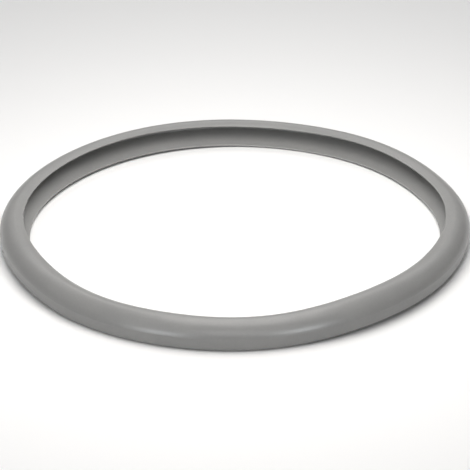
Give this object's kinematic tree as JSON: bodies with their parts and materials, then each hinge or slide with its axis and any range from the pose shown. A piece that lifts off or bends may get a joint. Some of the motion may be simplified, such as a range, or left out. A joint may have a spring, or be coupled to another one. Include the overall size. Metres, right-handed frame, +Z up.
{
  "type": "pressure cooker sealing ring",
  "caption": "Grey silicone sealing ring for a stovetop pressure cooker lid: a round moulding with a C section open inward, a short upper lip and a longer lower lip.",
  "frame": {"origin": "centre of the ring at its flat underside, on the surface it lies on", "axes": "+Z up through the middle of the ring, from the lower lip towards the upper lip; +X and +Y across the ring, with -Y the near side"},
  "size_m": [0.22, 0.22, 0.0121],
  "materials": {
    "silicone": "satin moulded silicone rubber, mid grey"
  },
  "bodies": {
    "root": {"sealing_ring": "silicone"}
  },
  "joints": []
}
